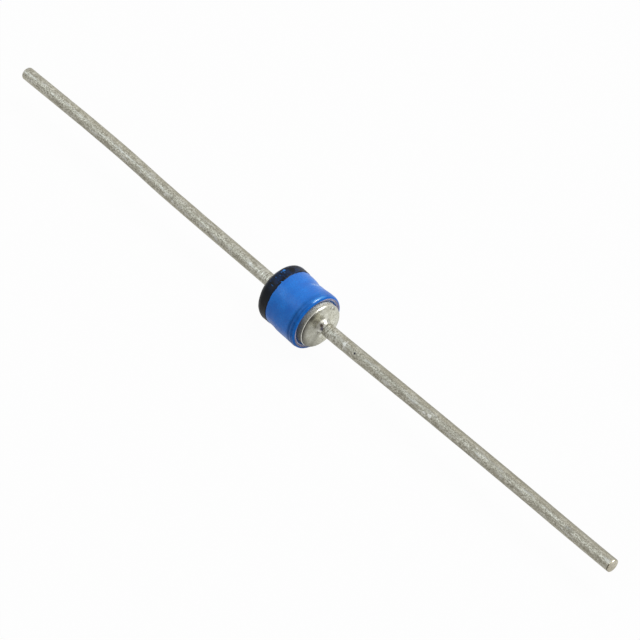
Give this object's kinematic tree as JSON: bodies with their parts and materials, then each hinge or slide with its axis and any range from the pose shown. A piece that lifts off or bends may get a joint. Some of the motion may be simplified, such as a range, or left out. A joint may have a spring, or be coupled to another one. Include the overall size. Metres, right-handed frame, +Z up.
{
  "type": "transient voltage suppressor diode",
  "caption": "Axial-lead surge suppressor diode: short painted glass body with a dark cathode band, metal end slugs and long round tinned wire leads.",
  "frame": {"origin": "middle of the glass sleeve on the body's axis, which is within 0.03 mm of the middle of the part's box", "axes": "+X along the body from the banded cathode end to the anode end, +Z up from the surface it lies on, +Y completes the right-handed set"},
  "size_m": [0.0618, 0.0044, 0.0044],
  "materials": {
    "slug_metal": "satin",
    "silicon": "lapped",
    "bond_metal": "satin",
    "sleeve_glass": "fused",
    "blue_paint": "semi-gloss",
    "band_paint": "semi-gloss",
    "tinned_wire": "matte",
    "braze": "satin"
  },
  "bodies": {
    "root": {"anode_slug": "slug_metal", "cathode_slug": "slug_metal", "silicon_die": "silicon", "anode_die_bond": "bond_metal", "cathode_die_bond": "bond_metal", "glass_sleeve": "sleeve_glass", "paint_coat": "blue_paint", "cathode_band": "band_paint", "anode_lead": "tinned_wire", "cathode_lead": "tinned_wire", "anode_lead_braze": "braze", "cathode_lead_braze": "braze"}
  },
  "joints": []
}
